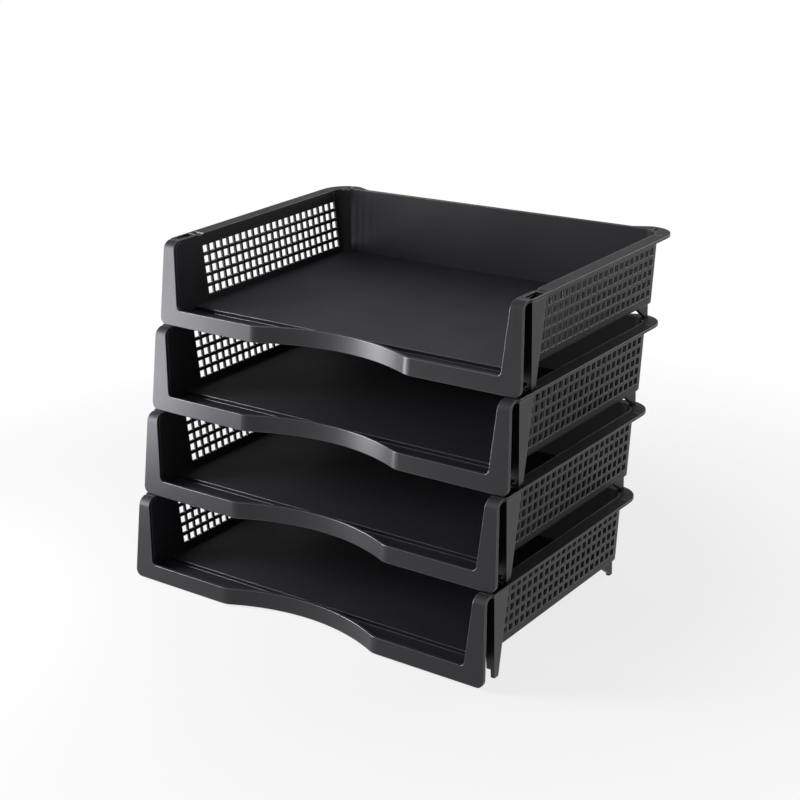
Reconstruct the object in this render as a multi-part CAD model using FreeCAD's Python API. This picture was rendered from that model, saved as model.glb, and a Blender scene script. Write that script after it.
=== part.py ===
"""Stack of landscape letter trays, each standing a little behind the one below.

Every tray is the same thin-walled plastic moulding: a floor with a lowered front
strip, a back wall with rounded corners and two ears, two side walls pierced by a
grid of slots, an open front frame with a finger recess, and two hollow front legs.
The moulding is written as seven plain solids that meet face to face.

Axes: +X to the right of a person facing the front, +Y from front to back, +Z up.
The origin is on the table, in the middle of the stack's footprint.
Lengths are in millimetres.
"""
import FreeCAD, Part
import math
import os

os.makedirs("parts", exist_ok=True)

V = FreeCAD.Vector

# --- Driving dimensions -------------------------------------------------------

# Stack
TRAY_COUNT = 4
SETBACK = 18.0              # each tray stands this far behind the one below

# Tub: the floor and its three walls
FLOOR_WIDTH = 315.0         # between the side walls, at the floor
FLOOR_BACK = 225.5          # from the front of the tray to the back wall, at the floor
RIM_HEIGHT = 70.0           # from the surface the tray stands on to the top of its rim
FLOOR_CLEARANCE = 11.4      # under the floor
FLOOR_THICKNESS = 1.6
WALL_THICKNESS = 1.8
WALL_EDGE_RADIUS = 1.6      # outside radius along the bottom of the walls
WALL_LEAN = 0.086           # outward lean of the walls, as a slope
CORNER_RADIUS = 7.0         # inside radius of the two upright rear corners, at the floor
CORNER_SPREAD = 0.11        # growth of that radius with height, as a slope

# Lowered strip between the floor's front edge and the front frame
STRIP_DROP = 3.5
STRIP_DEPTH = 24.5          # from the front of the tray to the floor's front edge
STEP_THICKNESS = 2.0

# Slots in the side walls
SLOT_COLUMNS = 22
SLOT_ROWS = 5
SLOT_START = 42.4           # from the front of the tray to the first slot
SLOT_REAR_MARGIN = 0.6      # from the last slot to the rear corner piece
SLOT_TOP_MARGIN = 10.2      # from the top of the rim to the top row
SLOT_BOTTOM_MARGIN = 5.8    # from the floor to the bottom row
SLOT_RIB = 2.1              # upright ribs between columns
SLOT_BAR = 2.6              # level bars between rows

# Rim
RIM_THICKNESS = 2.0
RIM_OVERHANG = 10.2         # how far the side rims stand out from the side walls
BACK_RIM_OVERHANG = 1.2     # how far the back rim stands out from the back wall
RIM_FRONT_TAPER = 2.4       # length over which each side rim narrows to the front frame

# Ears, at the rear ends of the side rims
EAR_RADIUS = 22.0
EAR_WIDTH = 25.5            # from the rim's outer edge to where the ear begins to taper
EAR_TAPER = 14.0
EAR_REAR_MARGIN = 3.2       # from a rear socket to the ear's rear edge

# Front frame
FRAME_THICKNESS = 2.6
FRAME_LEAN = 0.135          # backward lean of the frame, as a slope
FRAME_CLEARANCE = 2.0       # under the frame
FRAME_FLARE = 1.2           # how much wider than the rim the frame is at its foot, on each side
FRAME_TOP_INSET = 1.8       # how much narrower than the rim the frame is at its top, on each side
FRAME_BAND_TOP = 15.0       # height of the bottom band's upper edge
FRAME_POST_WIDTH = 16.9     # from the rim's outer edge to the frame's opening, at the band
FRAME_OUTER_RADIUS = 6.0
FRAME_INNER_RADIUS = 4.0
HOOK_RADIUS = 7.5           # where each upright bends back into the rim
HOOK_FLAT = 0.5             # level return behind the bend

# Finger recess in the bottom band
RECESS_DEPTH = 17.0
RECESS_HALF_WIDTH = 74.0
RECESS_BLEND = 18.0

# Hollow front legs, which taper down to a tip
LEG_TIP_FRONT = 21.5
LEG_TIP_LENGTH = 5.0
LEG_TIP_WIDTH = 3.4
LEG_TIP_HEIGHT = 6.5
LEG_TIP_INSET = 3.0         # from the rim's outer edge to the tip
LEG_FOOT_WIDTH = 7.0        # width of the leg where the tip begins
LEG_RIM_INSET = 0.4         # from the rim's outer edge to the top of the leg
LEG_FRONT_GAP = 2.6         # from the front frame's bend to the top of the leg
LEG_SIDE_GAP = 0.1          # from the side wall to the top of the leg
LEG_WALL = 0.9
LEG_SOLE = 1.5              # solid height above the tip

# Rear feet, under the side walls
FOOT_TIP_LENGTH = 4.5
FOOT_WIDTH = 3.2
FOOT_FLARE = 12.5           # how much longer a rear foot is at the top than at its tip
FOOT_STRAIGHT = 2.0         # height over which a rear foot keeps the length of its tip

# Shallow sockets in the rim that the feet of the next tray stand in
SOCKET_DEPTH = 1.0
SOCKET_GAP = 0.8            # around a foot
SOCKET_MARGIN = 1.2         # from a front leg's hollow to the front socket

# --- Derived dimensions -------------------------------------------------------

FLOOR_TOP = FLOOR_CLEARANCE + FLOOR_THICKNESS
STRIP_BOTTOM = FLOOR_CLEARANCE - STRIP_DROP
STRIP_TOP = FLOOR_TOP - STRIP_DROP
RIM_UNDERSIDE = RIM_HEIGHT - RIM_THICKNESS

HALF_FLOOR = FLOOR_WIDTH / 2
OVERLAP = 20.0              # how far cutting solids run past what they cut
FAR = FLOOR_WIDTH + FLOOR_BACK + RIM_HEIGHT
DIAGONAL = math.sqrt(0.5)   # how far a unit radius reaches along each axis at 45 degrees


def lean_out(height):
    """Outward shift of a wall at a height, measured from the floor's top."""
    return WALL_LEAN * (height - FLOOR_TOP)


def corner_radius(height):
    """Inside radius of the upright rear corners at a height."""
    return CORNER_RADIUS + CORNER_SPREAD * (height - FLOOR_TOP)


RIM_INSIDE = HALF_FLOOR + lean_out(RIM_HEIGHT)
RIM_OUTSIDE = RIM_INSIDE + WALL_THICKNESS + RIM_OVERHANG
RIM_BACK_INSIDE = FLOOR_BACK + lean_out(RIM_HEIGHT)
RIM_BACK_OUTSIDE = RIM_BACK_INSIDE + WALL_THICKNESS + BACK_RIM_OVERHANG

# The side walls end where the upright corners begin, at the top of the wall.
SIDE_END = RIM_BACK_INSIDE - corner_radius(RIM_HEIGHT)

# The uprights bend back into the rim; the leaning face sets where the bend ends.
FACE_LENGTH = math.hypot(1, FRAME_LEAN)
HOOK_INNER_RADIUS = HOOK_RADIUS - RIM_THICKNESS
HOOK_BACK = (FRAME_LEAN * (RIM_UNDERSIDE - HOOK_INNER_RADIUS) + FRAME_THICKNESS
             + HOOK_INNER_RADIUS * FACE_LENGTH + HOOK_FLAT)

LEG_TOP_FRONT = HOOK_BACK + LEG_FRONT_GAP
LEG_TIP_OUTSIDE = RIM_OUTSIDE - LEG_TIP_INSET
LEG_TIP_INSIDE = LEG_TIP_OUTSIDE - LEG_TIP_WIDTH
LEG_TIP_BACK = LEG_TIP_FRONT + LEG_TIP_LENGTH
LEG_TOP_BACK = LEG_TIP_FRONT + SETBACK - SOCKET_GAP - SOCKET_MARGIN + LEG_WALL
LEG_TOP_INSIDE = RIM_INSIDE + WALL_THICKNESS + LEG_SIDE_GAP
LEG_TOP_OUTSIDE = RIM_OUTSIDE - LEG_RIM_INSET

# A rear foot stands on the top of the back wall of the tray below, and on its ear.
FOOT_TIP_FRONT = RIM_BACK_INSIDE + SOCKET_GAP - SETBACK
FOOT_TIP_BACK = FOOT_TIP_FRONT + FOOT_TIP_LENGTH
FOOT_OUTSIDE = HALF_FLOOR + lean_out(FLOOR_CLEARANCE) + WALL_THICKNESS / 2
FOOT_INSIDE = FOOT_OUTSIDE - FOOT_WIDTH

EAR_BACK = FOOT_TIP_BACK + SETBACK + SOCKET_GAP + EAR_REAR_MARGIN

# The frame leans back, so its lower edge is the foremost point of the stack.
STACK_FRONT = FRAME_LEAN * FRAME_CLEARANCE
STACK_BACK = EAR_BACK + SETBACK * (TRAY_COUNT - 1)
STACK_MIDDLE = (STACK_FRONT + STACK_BACK) / 2
TIER_PITCH = RIM_HEIGHT - SOCKET_DEPTH


# --- Helpers ------------------------------------------------------------------

def box(x_low, x_high, y_low, y_high, z_low, z_high):
    """Box between two opposite corners."""
    return Part.makeBox(x_high - x_low, y_high - y_low, z_high - z_low, V(x_low, y_low, z_low))


def polygon_face(points):
    """Flat face with straight edges."""
    return Part.Face(Part.makePolygon(points + [points[0]]))


def rectangle(x_low, x_high, y_low, y_high, height):
    """Closed level rectangle."""
    corners = [(x_low, y_low), (x_high, y_low), (x_high, y_high), (x_low, y_high)]
    points = [V(x, y, height) for x, y in corners]
    return Part.makePolygon(points + [points[0]])


def rounded(solid, radius, wanted):
    """Solid with a fillet on every edge whose mid-point passes the test."""
    edges = [edge for edge in solid.Edges if wanted(edge.CenterOfMass)]
    return solid.makeFillet(radius, edges)


def joined(first, *others):
    """One clean solid from shapes that touch or overlap."""
    return first.fuse(list(others)).removeSplitter()


def mirrored(shape):
    """The same shape on the other side of the tray."""
    return shape.mirror(V(0, 0, 0), V(1, 0, 0))


# --- Tub ----------------------------------------------------------------------

def tub_outline(height, outward):
    """Level outline of the tub at a height, open at the front and moved outward."""
    half = HALF_FLOOR + lean_out(height) + outward
    back = FLOOR_BACK + lean_out(height) + outward
    radius = corner_radius(height) + outward
    slant = radius * DIAGONAL
    centre_x = half - radius
    centre_y = back - radius
    right_arc = Part.Arc(
        V(half, centre_y, height),
        V(centre_x + slant, centre_y + slant, height),
        V(centre_x, back, height),
    )
    left_arc = Part.Arc(
        V(-centre_x, back, height),
        V(-centre_x - slant, centre_y + slant, height),
        V(-half, centre_y, height),
    )
    edges = [
        Part.makeLine(V(-half, -OVERLAP, height), V(half, -OVERLAP, height)),
        Part.makeLine(V(half, -OVERLAP, height), V(half, centre_y, height)),
        right_arc.toShape(),
        Part.makeLine(V(centre_x, back, height), V(-centre_x, back, height)),
        left_arc.toShape(),
        Part.makeLine(V(-half, centre_y, height), V(-half, -OVERLAP, height)),
    ]
    return Part.Wire(edges)


def tub_block(outward, low, high):
    """Solid inside the tub's outline, between two heights."""
    outlines = [tub_outline(low, outward), tub_outline(high, outward)]
    return Part.makeLoft(outlines, True, True)


def tub_walls():
    """Side and back walls as one leaning shell, up to the underside of the rim."""
    outside = rounded(tub_block(WALL_THICKNESS, FLOOR_CLEARANCE, RIM_UNDERSIDE), WALL_EDGE_RADIUS,
                      lambda point: point.y > 0 and point.z < FLOOR_TOP)
    beside_strip = box(-FAR, FAR, 0, STRIP_DEPTH + STEP_THICKNESS, 0, FLOOR_TOP)
    skirt = tub_block(WALL_THICKNESS, STRIP_BOTTOM, FLOOR_TOP).common(beside_strip)
    inside = tub_block(0, STRIP_BOTTOM, RIM_UNDERSIDE)
    return outside.fuse(skirt).cut(inside)


def rim_outline():
    """Level outer outline of the rim with its two ears, at zero height."""
    front_half = RIM_OUTSIDE - FRAME_TOP_INSET
    front_end = HOOK_BACK + RIM_FRONT_TAPER
    slant = EAR_RADIUS * DIAGONAL
    centre_x = RIM_OUTSIDE - EAR_RADIUS
    centre_y = EAR_BACK - EAR_RADIUS
    ear_end = RIM_OUTSIDE - EAR_WIDTH
    taper_end = ear_end - EAR_TAPER
    right_arc = Part.Arc(
        V(RIM_OUTSIDE, centre_y, 0),
        V(centre_x + slant, centre_y + slant, 0),
        V(centre_x, EAR_BACK, 0),
    )
    left_arc = Part.Arc(
        V(-centre_x, EAR_BACK, 0),
        V(-centre_x - slant, centre_y + slant, 0),
        V(-RIM_OUTSIDE, centre_y, 0),
    )
    across = [
        V(centre_x, EAR_BACK, 0),
        V(ear_end, EAR_BACK, 0),
        V(taper_end, RIM_BACK_OUTSIDE, 0),
        V(-taper_end, RIM_BACK_OUTSIDE, 0),
        V(-ear_end, EAR_BACK, 0),
        V(-centre_x, EAR_BACK, 0),
    ]
    around_front = [
        V(-RIM_OUTSIDE, centre_y, 0),
        V(-RIM_OUTSIDE, front_end, 0),
        V(-front_half, HOOK_BACK, 0),
        V(front_half, HOOK_BACK, 0),
        V(RIM_OUTSIDE, front_end, 0),
        V(RIM_OUTSIDE, centre_y, 0),
    ]
    edges = [Part.makeLine(*ends) for ends in zip(around_front, around_front[1:])]
    edges.append(right_arc.toShape())
    edges += [Part.makeLine(*ends) for ends in zip(across, across[1:])]
    edges.append(left_arc.toShape())
    return Part.Wire(edges)


def rim():
    """Level rim with ears."""
    plate = Part.Face(rim_outline()).extrude(V(0, 0, RIM_THICKNESS))
    plate.translate(V(0, 0, RIM_UNDERSIDE))
    return plate.cut(tub_block(0, STRIP_BOTTOM, RIM_HEIGHT))


def socket(x_low, x_high, y_low, y_high):
    """Cutting box for the recess around a foot of the next tray."""
    return box(x_low - SOCKET_GAP, x_high + SOCKET_GAP, y_low - SOCKET_GAP, y_high + SOCKET_GAP,
               RIM_HEIGHT - SOCKET_DEPTH, RIM_HEIGHT + OVERLAP)


def front_socket():
    """Where the tip of the next tray's right front leg stands, open toward the tub."""
    return socket(HALF_FLOOR, LEG_TIP_OUTSIDE, LEG_TIP_FRONT + SETBACK, LEG_TIP_BACK + SETBACK)


def rear_socket():
    """Where the next tray's right rear foot stands, open toward the tub."""
    return socket(FOOT_INSIDE, FOOT_OUTSIDE, FOOT_TIP_FRONT, FOOT_TIP_BACK + SETBACK)


# --- Sub-parts ----------------------------------------------------------------

def slot_grid():
    """Every slot of the right side wall, as boxes that run through it."""
    length = SIDE_END - SLOT_REAR_MARGIN - SLOT_START
    height = RIM_HEIGHT - SLOT_TOP_MARGIN - FLOOR_TOP - SLOT_BOTTOM_MARGIN
    slot_length = (length - SLOT_RIB * (SLOT_COLUMNS - 1)) / SLOT_COLUMNS
    slot_height = (height - SLOT_BAR * (SLOT_ROWS - 1)) / SLOT_ROWS
    slots = []
    for column in range(SLOT_COLUMNS):
        y_low = SLOT_START + column * (slot_length + SLOT_RIB)
        for row in range(SLOT_ROWS):
            z_low = FLOOR_TOP + SLOT_BOTTOM_MARGIN + row * (slot_height + SLOT_BAR)
            slots.append(box(HALF_FLOOR - OVERLAP, RIM_OUTSIDE, y_low, y_low + slot_length,
                             z_low, z_low + slot_height))
    return Part.makeCompound(slots)


def leg_outline(height, inward):
    """Level outline of the right front leg at a height, moved inward by a wall."""
    share = height / RIM_UNDERSIDE
    foot_inside = LEG_TIP_OUTSIDE - LEG_FOOT_WIDTH
    x_low = foot_inside + share * (LEG_TOP_INSIDE - foot_inside)
    x_high = LEG_TIP_OUTSIDE + share * (LEG_TOP_OUTSIDE - LEG_TIP_OUTSIDE)
    y_low = LEG_TIP_FRONT + share * (LEG_TOP_FRONT - LEG_TIP_FRONT)
    y_high = LEG_TIP_BACK + share * (LEG_TOP_BACK - LEG_TIP_BACK)
    return rectangle(x_low + inward, x_high - inward, y_low + inward, y_high - inward, height)


def leg_pocket():
    """The hollow inside the right front leg, from its sole up through the rim."""
    bottom = LEG_TIP_HEIGHT + LEG_SOLE
    outlines = [leg_outline(bottom, LEG_WALL), leg_outline(RIM_HEIGHT, LEG_WALL)]
    return Part.makeLoft(outlines, True, True)


def front_leg():
    """Right front leg: a tapered hollow post with a narrow tip, open at the top."""
    outside = Part.makeLoft([leg_outline(0, 0), leg_outline(RIM_UNDERSIDE, 0)], True, True)
    beside_tip = box(0, LEG_TIP_INSIDE, 0, FAR, 0, LEG_TIP_HEIGHT)
    return outside.cut(beside_tip).cut(leg_pocket())


def rear_foot():
    """Right rear foot: a wedge-shaped plate under the floor and the side wall."""
    top = FLOOR_CLEARANCE + WALL_EDGE_RADIUS
    plate = polygon_face([
        V(FOOT_OUTSIDE, FOOT_TIP_FRONT, 0),
        V(FOOT_OUTSIDE, FOOT_TIP_BACK, 0),
        V(FOOT_OUTSIDE, FOOT_TIP_BACK, top),
        V(FOOT_OUTSIDE, FOOT_TIP_FRONT - FOOT_FLARE, top),
        V(FOOT_OUTSIDE, FOOT_TIP_FRONT - FOOT_FLARE, FLOOR_CLEARANCE),
        V(FOOT_OUTSIDE, FOOT_TIP_FRONT, FOOT_STRAIGHT),
    ]).extrude(V(-FOOT_WIDTH, 0, 0))
    behind_side = box(0, FAR, SIDE_END, FAR, FLOOR_CLEARANCE, RIM_UNDERSIDE)
    return plate.cut(tub_block(0, FLOOR_CLEARANCE, RIM_UNDERSIDE)).cut(behind_side)


def side(shell):
    """Right side: pierced wall, rim, front socket and rear foot."""
    zone = box(0, FAR, 0, SIDE_END, 0, RIM_HEIGHT)
    wall = shell.common(zone).cut(ahead_of_frame()).cut(frame_posts()).cut(slot_grid())
    return joined(wall.cut(leg_pocket()).cut(front_socket()), rear_foot())


def back_wall(shell):
    """Back wall with its two rounded corners, the back rim, both ears and rear sockets."""
    zone = box(-FAR, FAR, SIDE_END, FAR, 0, RIM_HEIGHT)
    right_socket = rear_socket()
    return shell.common(zone).cut(right_socket).cut(mirrored(right_socket))


def floor():
    """Floor, the step at its front edge and the lowered strip in front of it."""
    sheet = box(-FAR, FAR, STRIP_DEPTH, FAR, FLOOR_CLEARANCE, FLOOR_TOP)
    step = box(-FAR, FAR, STRIP_DEPTH, STRIP_DEPTH + STEP_THICKNESS, STRIP_BOTTOM, FLOOR_TOP)
    strip = box(-FAR, FAR, -OVERLAP, STRIP_DEPTH, STRIP_BOTTOM, STRIP_TOP)
    slab = joined(sheet, step, strip)
    return slab.common(tub_block(0, STRIP_BOTTOM, FLOOR_TOP)).cut(ahead_of_frame())


# --- Front frame --------------------------------------------------------------

def recess_edges(offset):
    """Plan curve of the band's face, moved back by an offset, from left to right."""
    radius = (RECESS_HALF_WIDTH ** 2 + RECESS_DEPTH ** 2) / (2 * RECESS_DEPTH)
    centre_y = RECESS_DEPTH - radius
    blend_x = math.sqrt((radius + RECESS_BLEND) ** 2 - (RECESS_BLEND - centre_y) ** 2)
    bend = math.asin(blend_x / (radius + RECESS_BLEND))

    def on_recess(angle):
        reach = radius + offset
        return V(reach * math.sin(angle), centre_y + reach * math.cos(angle), 0)

    def on_blend(sign, angle):
        reach = RECESS_BLEND - offset
        return V(sign * (blend_x - reach * math.sin(angle)),
                 RECESS_BLEND - reach * math.cos(angle), 0)

    end = V(RIM_OUTSIDE + OVERLAP, offset, 0)
    start = V(-end.x, offset, 0)
    left = Part.Arc(on_blend(-1, 0), on_blend(-1, bend / 2), on_blend(-1, bend))
    middle = Part.Arc(on_recess(-bend), on_recess(0), on_recess(bend))
    right = Part.Arc(on_blend(1, bend), on_blend(1, bend / 2), on_blend(1, 0))
    return [
        Part.makeLine(start, on_blend(-1, 0)),
        left.toShape(),
        middle.toShape(),
        right.toShape(),
        Part.makeLine(on_blend(1, 0), end),
    ]


def plan_block(edges, far_y):
    """Solid between a plan curve and a straight line, leaning back as the frame does."""
    start = edges[0].Vertexes[0].Point
    end = edges[-1].Vertexes[-1].Point
    closing = [
        Part.makeLine(end, V(end.x, far_y, 0)),
        Part.makeLine(V(end.x, far_y, 0), V(start.x, far_y, 0)),
        Part.makeLine(V(start.x, far_y, 0), start),
    ]
    face = Part.Face(Part.Wire(edges + closing))
    return face.extrude(V(0, FRAME_LEAN * RIM_HEIGHT, RIM_HEIGHT))


def ahead_of_frame():
    """Everything in front of the frame's rear face."""
    return plan_block(recess_edges(FRAME_THICKNESS), -FAR)


def band():
    """Bottom band of the frame, bent back around the finger recess."""
    behind_face = plan_block(recess_edges(0), FAR)
    return behind_face.common(ahead_of_frame())


def hook_section():
    """Upright cross-section: the leaning face, the bend and the short level return."""
    angle = math.pi / 2 - math.atan(FRAME_LEAN)

    def bend(face_offset, top, radius):
        centre_z = top - radius
        centre_y = FRAME_LEAN * centre_z + face_offset + radius * FACE_LENGTH
        points = []
        for turn in (angle, angle / 2, 0):
            points.append(V(0, centre_y - radius * math.sin(turn),
                            centre_z + radius * math.cos(turn)))
        return points

    outer = bend(0, RIM_HEIGHT, HOOK_RADIUS)
    inner = bend(FRAME_THICKNESS, RIM_UNDERSIDE, HOOK_INNER_RADIUS)
    foot = V(0, 0, 0)
    foot_back = V(0, FRAME_THICKNESS, 0)
    top_end = V(0, HOOK_BACK, RIM_HEIGHT)
    under_end = V(0, HOOK_BACK, RIM_UNDERSIDE)
    edges = [
        Part.makeLine(foot, outer[0]),
        Part.Arc(*outer).toShape(),
        Part.makeLine(outer[2], top_end),
        Part.makeLine(top_end, under_end),
        Part.makeLine(under_end, inner[2]),
        Part.Arc(*reversed(inner)).toShape(),
        Part.makeLine(inner[0], foot_back),
        Part.makeLine(foot_back, foot),
    ]
    return Part.Face(Part.Wire(edges))


def frame_outline():
    """Front view of the frame: a wide U with rounded corners, as a block along Y."""
    depth = OVERLAP + HOOK_BACK + RECESS_DEPTH
    half_bottom = RIM_OUTSIDE + FRAME_FLARE
    half_top = RIM_OUTSIDE - FRAME_TOP_INSET
    outer = polygon_face([
        V(-half_bottom, -OVERLAP, FRAME_CLEARANCE),
        V(half_bottom, -OVERLAP, FRAME_CLEARANCE),
        V(half_top, -OVERLAP, RIM_HEIGHT),
        V(-half_top, -OVERLAP, RIM_HEIGHT),
    ]).extrude(V(0, depth, 0))
    outer = rounded(outer, FRAME_OUTER_RADIUS,
                    lambda point: abs(point.x) > HALF_FLOOR and point.z < FRAME_BAND_TOP)
    inner_bottom = RIM_OUTSIDE - FRAME_POST_WIDTH
    above = RIM_HEIGHT + OVERLAP
    inner_slope = (RIM_INSIDE - inner_bottom) / (RIM_HEIGHT - FRAME_BAND_TOP)
    inner_above = inner_bottom + inner_slope * (above - FRAME_BAND_TOP)
    opening = polygon_face([
        V(-inner_bottom, -OVERLAP, FRAME_BAND_TOP),
        V(inner_bottom, -OVERLAP, FRAME_BAND_TOP),
        V(inner_above, -OVERLAP, above),
        V(-inner_above, -OVERLAP, above),
    ]).extrude(V(0, depth, 0))
    middle = (FRAME_BAND_TOP + RIM_HEIGHT) / 2
    opening = rounded(opening, FRAME_INNER_RADIUS,
                      lambda point: abs(point.x) > inner_bottom / 2 and point.z < middle)
    return outer.cut(opening)


def frame_posts():
    """The frame's cross-section through its uprights, run across the whole width."""
    span = 2 * (RIM_OUTSIDE + OVERLAP)
    posts = hook_section().extrude(V(span, 0, 0))
    posts.translate(V(-span / 2, 0, 0))
    return posts


def front_frame():
    """Front frame: two uprights, their bends into the rim, and the bottom band."""
    band_zone = box(-HALF_FLOOR, HALF_FLOOR, -OVERLAP, FAR, 0, RIM_HEIGHT)
    solid = joined(frame_posts().cut(band_zone), band().common(band_zone))
    return solid.common(frame_outline())


# --- Assembly -----------------------------------------------------------------

def tray_parts():
    """One tray's sub-parts by name, with its front edge at zero depth."""
    shell = tub_walls().fuse(rim()).removeSplitter()
    right_side = side(shell)
    right_leg = front_leg()
    return {
        "floor": floor(),
        "back_wall": back_wall(shell),
        "left_side": mirrored(right_side),
        "right_side": right_side,
        "front_frame": front_frame(),
        "left_front_leg": mirrored(right_leg),
        "right_front_leg": right_leg,
    }


def main():
    """Write every sub-part of every tray, from the bottom of the stack up."""
    parts = tray_parts()
    for tier in range(TRAY_COUNT):
        place = V(0, SETBACK * tier - STACK_MIDDLE, TIER_PITCH * tier)
        for name, shape in parts.items():
            moved = shape.copy()
            moved.translate(place)
            moved.exportStep(f"parts/tray_{tier + 1}_{name}.step")


main()
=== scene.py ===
"""Looks of a stack of four landscape letter trays in black moulded polystyrene.

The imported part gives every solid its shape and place. This script gives each of
them its finish, stands the stack on a sheet of studio paper, and lights it with
a soft box close on the left and a second one behind on the right.

Lengths are in metres, in the part's own frame: +X to the right of a person facing
the front, +Y from front to back, +Z up, with the origin on the table.
"""
import logging
import math
from dataclasses import dataclass, field
from enum import Enum

import bpy
from mathutils import Matrix, Vector


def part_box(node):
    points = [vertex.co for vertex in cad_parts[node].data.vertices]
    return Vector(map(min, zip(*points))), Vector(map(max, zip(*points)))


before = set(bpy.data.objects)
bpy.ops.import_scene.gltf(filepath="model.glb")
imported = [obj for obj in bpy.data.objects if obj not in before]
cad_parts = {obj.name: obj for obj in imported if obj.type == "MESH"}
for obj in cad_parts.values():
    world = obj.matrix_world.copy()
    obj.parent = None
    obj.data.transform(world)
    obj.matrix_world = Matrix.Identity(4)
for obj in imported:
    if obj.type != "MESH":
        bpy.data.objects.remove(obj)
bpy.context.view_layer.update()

LOG = logging.getLogger("letter_trays")
MILLIMETRE = 0.001
WHITE = "#ffffff"


def linear_colour(hex_code: str) -> tuple[float, float, float, float]:
    """Turn an sRGB hex code into linear light.

    Args:
        hex_code: Six hex digits after a hash.

    Returns:
        Linear red, green and blue, and full opacity.
    """
    digits = hex_code.lstrip("#")
    channels = [int(digits[place:place + 2], 16) / 255 for place in (0, 2, 4)]
    linear = [c / 12.92 if c <= 0.04045 else ((c + 0.055) / 1.055) ** 2.4 for c in channels]
    return (linear[0], linear[1], linear[2], 1.0)


def add_node(tree: bpy.types.NodeTree, kind: str, inputs: dict | None = None,
             **settings: object) -> bpy.types.Node:
    """Add one node to a tree, with its settings, values and links.

    Args:
        tree: The node tree that gets the node.
        kind: Blender's identifier of the node's type.
        inputs: What goes into its input sockets, by name or number: an output socket
            of another node is linked, and anything else is set as the value.
        **settings: Properties of the node itself.

    Returns:
        The new node.
    """
    node = tree.nodes.new(kind)
    for name, value in settings.items():
        setattr(node, name, value)
    for name, value in (inputs or {}).items():
        if isinstance(value, bpy.types.NodeSocket):
            tree.links.new(value, node.inputs[name])
        else:
            node.inputs[name].default_value = value
    return node


def empty_material(name: str) -> bpy.types.Material:
    """Return a new node material that has no nodes yet."""
    material = bpy.data.materials.new(name)
    material.use_nodes = True
    material.node_tree.nodes.clear()
    return material


class TrayPart(Enum):
    """The solids that one tray moulding is written as, by the ends of their names."""

    FLOOR = "floor"
    BACK_WALL = "back_wall"
    LEFT_SIDE = "left_side"
    RIGHT_SIDE = "right_side"
    FRONT_FRAME = "front_frame"
    LEFT_FRONT_LEG = "left_front_leg"
    RIGHT_FRONT_LEG = "right_front_leg"


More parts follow.
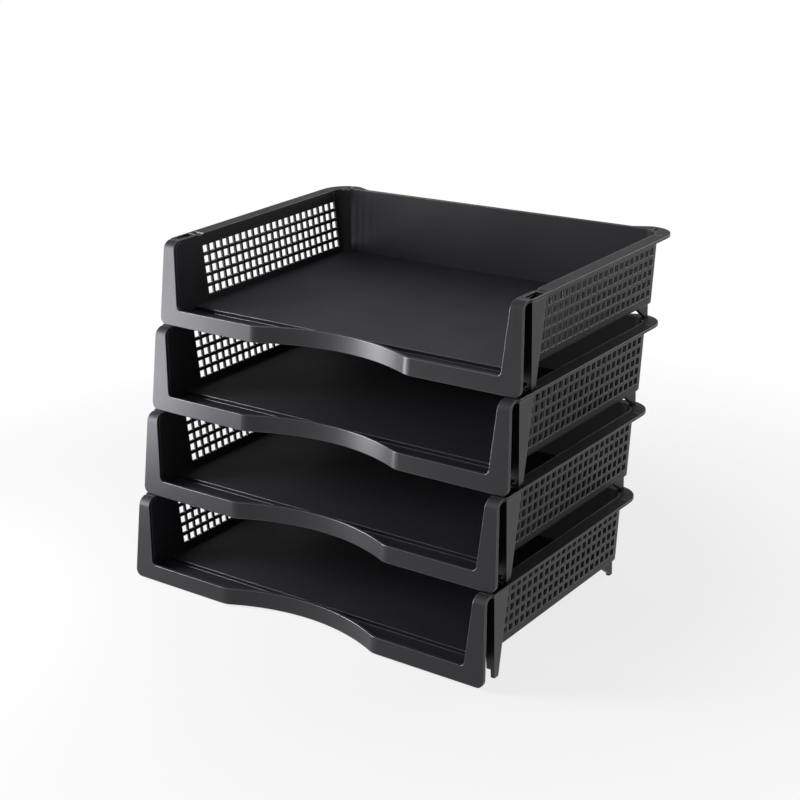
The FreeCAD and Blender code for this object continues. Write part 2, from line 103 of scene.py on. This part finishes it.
@dataclass(frozen=True)
class MouldedPolystyrene:
    """High-impact polystyrene, coloured black in the mass and left as moulded.

    The steel of the mould is spark-eroded, which leaves a fine even grain: reflections
    spread into a soft sheen with no sharp highlight. Faces that slide along the steel
    when the tray is pushed out of it are smoother, and show the lamps more clearly.
    Where the melt met the cool steel its skin is a little smoother or duller, so the
    sheen drifts over a few centimetres. The edges are rounded and rubbed smooth by
    hands and paper, and catch a thin line of light.
    """

    name: str
    upright_roughness: float
    level_roughness: float
    specular_level: float
    colour: str = "#1f1f23"
    ior: float = 1.59
    # A face counts as upright or level by how far its normal points up or down.
    upright_below: float = 0.3
    level_above: float = 0.8
    # The real grain is about 0.1 mm. It is drawn coarser, so that it shows.
    grain: float = 0.5 * MILLIMETRE
    grain_height: float = 0.012 * MILLIMETRE
    # Length over which the sheen drifts, and how far it drifts either way.
    drift: float = 60 * MILLIMETRE
    drift_range: float = 0.04
    # Nearly all of a noise texture's values lie between these two.
    noise_low: float = 0.3
    noise_high: float = 0.7
    noise_detail: float = 2.0
    edge_radius: float = 0.7 * MILLIMETRE
    edge_samples: int = 8
    # An edge is fully rubbed where its rounding turns the normal to this cosine.
    rubbed_cosine: float = 0.95
    edge_roughness: float = 0.25
    edge_specular_level: float = 0.9

    def build(self) -> bpy.types.Material:
        """Return the finish as a material."""
        material = empty_material(self.name)
        tree = material.node_tree
        place = add_node(tree, "ShaderNodeTexCoord").outputs["Object"]
        normal = add_node(tree, "ShaderNodeNewGeometry").outputs["Normal"]
        edge = add_node(tree, "ShaderNodeBevel", {"Radius": self.edge_radius},
                        samples=self.edge_samples).outputs["Normal"]
        flatness = add_node(tree, "ShaderNodeVectorMath", {0: normal, 1: edge},
                            operation="DOT_PRODUCT").outputs["Value"]
        roughness = self.rub_edges(
            tree, flatness, self.edge_roughness, self.face_roughness(tree, place, normal))
        gloss = self.rub_edges(tree, flatness, self.edge_specular_level, self.specular_level)
        grain = add_node(tree, "ShaderNodeBump", {
            "Height": self.noise(tree, place, self.grain), "Distance": self.grain_height,
            "Normal": edge})
        surface = add_node(tree, "ShaderNodeBsdfPrincipled", {
            "Base Color": linear_colour(self.colour), "IOR": self.ior,
            "Specular IOR Level": gloss, "Roughness": roughness,
            "Normal": grain.outputs["Normal"]})
        add_node(tree, "ShaderNodeOutputMaterial", {"Surface": surface.outputs["BSDF"]})
        return material

    def noise(self, tree: bpy.types.NodeTree, place: bpy.types.NodeSocket,
              length: float) -> bpy.types.NodeSocket:
        """Add a noise texture.

        Args:
            tree: The material's node tree.
            place: The socket that gives the place on the part.
            length: The size of the noise's largest spots, in metres.

        Returns:
            The socket with the noise, from 0 to 1.
        """
        return add_node(tree, "ShaderNodeTexNoise", {
            "Vector": place, "Scale": 1 / length,
            "Detail": self.noise_detail}).outputs["Fac"]

    def face_roughness(self, tree: bpy.types.NodeTree, place: bpy.types.NodeSocket,
                       normal: bpy.types.NodeSocket) -> bpy.types.NodeSocket:
        """Add the roughness of the faces, away from their edges.

        Args:
            tree: The material's node tree.
            place: The socket that gives the place on the part.
            normal: The socket that gives the face's own normal.

        Returns:
            The socket with the roughness.
        """
        slope = add_node(tree, "ShaderNodeSeparateXYZ", {"Vector": normal})
        level = add_node(tree, "ShaderNodeMath", {0: slope.outputs["Z"]}, operation="ABSOLUTE")
        finish = add_node(tree, "ShaderNodeMapRange", {
            "Value": level.outputs["Value"],
            "From Min": self.upright_below, "From Max": self.level_above,
            "To Min": self.upright_roughness, "To Max": self.level_roughness})
        drift = add_node(tree, "ShaderNodeMapRange", {
            "Value": self.noise(tree, place, self.drift),
            "From Min": self.noise_low, "From Max": self.noise_high,
            "To Min": -self.drift_range, "To Max": self.drift_range})
        return add_node(tree, "ShaderNodeMath", {
            0: finish.outputs["Result"], 1: drift.outputs["Result"]},
            operation="ADD").outputs["Value"]

    def rub_edges(self, tree: bpy.types.NodeTree, flatness: bpy.types.NodeSocket,
                  at_edge: float, on_face: float | bpy.types.NodeSocket,
                  ) -> bpy.types.NodeSocket:
        """Add a value that differs between the edges and the faces.

        Args:
            tree: The material's node tree.
            flatness: The socket that is 1 on a flat face and lower on a rounded edge.
            at_edge: The value on an edge.
            on_face: The value on a face, or the socket that gives it.

        Returns:
            The socket with the value.
        """
        return add_node(tree, "ShaderNodeMapRange", {
            "Value": flatness, "From Min": self.rubbed_cosine, "From Max": 1.0,
            "To Min": at_edge, "To Max": on_face}).outputs["Result"]


@dataclass(frozen=True)
class StudioPaper:
    """White background paper, calendered matt: it scatters light evenly and has no gloss.

    Far from the stack, and in reflections, it is plain white. Round the stack it keeps
    part of its own shading, so that it shows the stack's shadow.
    """

    name: str = "white matt background paper"
    colour: str = "#fafafa"
    # Share of its own shading that it keeps within the first radius. From there to the
    # second radius it turns plain white.
    shadow_share: float = 0.2
    shadow_radius: float = 220 * MILLIMETRE
    white_radius: float = 600 * MILLIMETRE

    def build(self) -> bpy.types.Material:
        """Return the finish as a material."""
        material = empty_material(self.name)
        tree = material.node_tree
        place = add_node(tree, "ShaderNodeTexCoord").outputs["Object"]
        distance = add_node(tree, "ShaderNodeVectorMath", {0: place}, operation="LENGTH")
        whiteness = add_node(tree, "ShaderNodeMapRange", {
            "Value": distance.outputs["Value"],
            "From Min": self.shadow_radius, "From Max": self.white_radius,
            "To Min": 1 - self.shadow_share})
        path = add_node(tree, "ShaderNodeLightPath")
        seen = add_node(tree, "ShaderNodeMath", {
            0: path.outputs["Is Camera Ray"], 1: whiteness.outputs["Result"]},
            operation="MULTIPLY")
        share = add_node(tree, "ShaderNodeMath", {
            0: seen.outputs["Value"], 1: mirrored_rays(tree)}, operation="MAXIMUM")
        paper = add_node(tree, "ShaderNodeBsdfDiffuse", {"Color": linear_colour(self.colour)})
        white = add_node(tree, "ShaderNodeEmission", {"Color": linear_colour(WHITE)})
        surface = add_node(tree, "ShaderNodeMixShader", {
            0: share.outputs["Value"], 1: paper.outputs["BSDF"], 2: white.outputs["Emission"]})
        add_node(tree, "ShaderNodeOutputMaterial", {"Surface": surface.outputs["Shader"]})
        return material


def mirrored_rays(tree: bpy.types.NodeTree) -> bpy.types.NodeSocket:
    """Return a socket that is 1 for what gloss or glass shows, and 0 otherwise."""
    path = add_node(tree, "ShaderNodeLightPath")
    either = add_node(tree, "ShaderNodeMath", {
        0: path.outputs["Is Glossy Ray"], 1: path.outputs["Is Transmission Ray"]},
        operation="MAXIMUM")
    return either.outputs["Value"]


# The front frame and the legs are polished along the way out of the mould.
SATIN = MouldedPolystyrene(
    "satin black moulded polystyrene",
    upright_roughness=0.32, level_roughness=0.60, specular_level=0.25)
# The floor and the walls round it keep the whole grain of the steel.
GRAINED = MouldedPolystyrene(
    "fine-grained black moulded polystyrene",
    upright_roughness=0.48, level_roughness=0.62, specular_level=0.17)
SATIN_PARTS = (TrayPart.FRONT_FRAME, TrayPart.LEFT_FRONT_LEG, TrayPart.RIGHT_FRONT_LEG)


@dataclass
class Tray:
    """One tray moulding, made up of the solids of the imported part."""

    number: int

    def node_name(self, part: TrayPart) -> str:
        """Return the name of one of the tray's solids."""
        return f"tray_{self.number}_{part.value}"

    def dress(self, satin: bpy.types.Material, grained: bpy.types.Material) -> None:
        """Give each of the tray's solids its finish.

        Args:
            satin: The finish of the front frame and the legs.
            grained: The finish of the floor and the walls.
        """
        for part in TrayPart:
            name = self.node_name(part)
            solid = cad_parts[name]
            finish = satin if part in SATIN_PARTS else grained
            solid.data.materials.clear()
            solid.data.materials.append(finish)
            low, high = (Vector(corner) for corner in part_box(name))
            size = (high - low) / MILLIMETRE
            LOG.info("%s: %.0f x %.0f x %.0f mm, %s", name, *size, finish.name)


@dataclass
class TrayStack:
    """The whole stack, from the bottom tray up."""

    tray_count: int = 4

    def dress(self) -> None:
        """Give every tray its finishes."""
        satin, grained = SATIN.build(), GRAINED.build()
        for number in range(1, self.tray_count + 1):
            Tray(number).dress(satin, grained)


@dataclass
class Camera:
    """The camera, by its direction round the stack and where the origin lies in its view."""

    azimuth: float = 37.20          # degrees to the right of the front
    elevation: float = 20.24        # degrees above level
    roll: float = -2.145            # degrees
    origin_right: float = 6.2 * MILLIMETRE
    origin_up: float = -136.5 * MILLIMETRE
    origin_ahead: float = 1408.3 * MILLIMETRE
    focal_length: float = 1657.6    # in pixels
    image_width: int = 800          # in pixels
    sensor_width: float = 36.0      # Blender's own unit, millimetres
    clip_start: float = 0.01
    clip_end: float = 100.0

    def build(self) -> None:
        """Add the camera and set it as the scene's."""
        azimuth, elevation, roll = map(math.radians, (self.azimuth, self.elevation, self.roll))
        ahead = Vector((-math.sin(azimuth) * math.cos(elevation),
                        math.cos(azimuth) * math.cos(elevation), -math.sin(elevation)))
        level_right = ahead.cross(Vector((0, 0, 1))).normalized()
        level_up = level_right.cross(ahead)
        right = math.cos(roll) * level_right + math.sin(roll) * level_up
        up = math.cos(roll) * level_up - math.sin(roll) * level_right
        origin = self.origin_right * right + self.origin_up * up + self.origin_ahead * ahead
        data = bpy.data.cameras.new("camera")
        data.sensor_width = self.sensor_width
        data.lens = self.focal_length * self.sensor_width / self.image_width
        data.clip_start = self.clip_start
        data.clip_end = self.clip_end
        camera = bpy.data.objects.new("camera", data)
        axes = Matrix((right, up, -ahead)).transposed()
        camera.matrix_world = Matrix.Translation(-origin) @ axes.to_4x4()
        bpy.context.scene.collection.objects.link(camera)
        bpy.context.scene.camera = camera


@dataclass
class SoftBox:
    """A flat lamp behind white cloth. Its radiance is 1 where it would look plain white."""

    name: str
    place: Vector
    aim: Vector
    width: float
    height: float
    radiance: float
    colour: str = WHITE

    def build(self) -> None:
        """Add the lamp, which lights the stack but isn't seen itself."""
        data = bpy.data.lights.new(self.name, "AREA")
        data.shape = "RECTANGLE"
        data.size = self.width
        data.size_y = self.height
        data.energy = math.pi * self.width * self.height * self.radiance
        data.color = linear_colour(self.colour)[:3]
        lamp = bpy.data.objects.new(self.name, data)
        lamp.location = self.place
        lamp.rotation_mode = "QUATERNION"
        lamp.rotation_quaternion = (self.aim - self.place).to_track_quat("-Z", "Y")
        lamp.visible_camera = False
        bpy.context.scene.collection.objects.link(lamp)
        LOG.info("%s: %.2f x %.2f m, %.1f W", self.name, self.width, self.height, data.energy)


@dataclass
class Studio:
    """The floor, the backdrop and the lamps round the stack."""

    floor_half: float = 12.0
    glow: float = 0.1
    lamps: list[SoftBox] = field(default_factory=lambda: [
        SoftBox("left_soft_box", Vector((-0.55, -0.425, 0.31)), Vector((0.0, -0.425, 0.31)),
                width=0.25, height=0.60, radiance=17.0, colour="#f8f7ff"),
        SoftBox("rear_soft_box", Vector((0.725, 1.255, 0.53)), Vector((0.0, 0.0, 0.14)),
                width=0.8, height=0.8, radiance=1.8),
    ])

    def build(self) -> None:
        """Lay the floor, hang the backdrop and set the lamps up."""
        self.lay_floor()
        self.hang_backdrop()
        for lamp in self.lamps:
            lamp.build()

    def lay_floor(self) -> None:
        """Put a level sheet of paper under the stack."""
        half = self.floor_half
        corners = [(-half, -half, 0), (half, -half, 0), (half, half, 0), (-half, half, 0)]
        mesh = bpy.data.meshes.new("floor")
        mesh.from_pydata(corners, [], [(0, 1, 2, 3)])
        mesh.materials.append(StudioPaper().build())
        floor = bpy.data.objects.new("floor", mesh)
        bpy.context.scene.collection.objects.link(floor)
        LOG.info("%s: %.0f m wide", floor.name, 2 * half)

    def hang_backdrop(self) -> None:
        """Make the world plain white to the eye and in gloss, with a weak even glow."""
        world = bpy.data.worlds.new("white backdrop")
        world.use_nodes = True
        tree = world.node_tree
        tree.nodes.clear()
        path = add_node(tree, "ShaderNodeLightPath")
        shown = add_node(tree, "ShaderNodeMath", {
            0: path.outputs["Is Camera Ray"], 1: mirrored_rays(tree)}, operation="MAXIMUM")
        glow = add_node(tree, "ShaderNodeBackground", {
            "Color": linear_colour(WHITE), "Strength": self.glow})
        white = add_node(tree, "ShaderNodeBackground", {"Color": linear_colour(WHITE)})
        surface = add_node(tree, "ShaderNodeMixShader", {
            0: shown.outputs["Value"], 1: glow.outputs["Background"],
            2: white.outputs["Background"]})
        add_node(tree, "ShaderNodeOutputWorld", {"Surface": surface.outputs["Shader"]})
        bpy.context.scene.world = world


def main() -> None:
    """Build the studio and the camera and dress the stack."""
    logging.basicConfig(level=logging.INFO, format="%(name)s: %(message)s")
    bpy.context.scene.view_settings.view_transform = "Standard"
    Camera().build()
    Studio().build()
    TrayStack().dress()


if __name__ == "__main__":
    main()
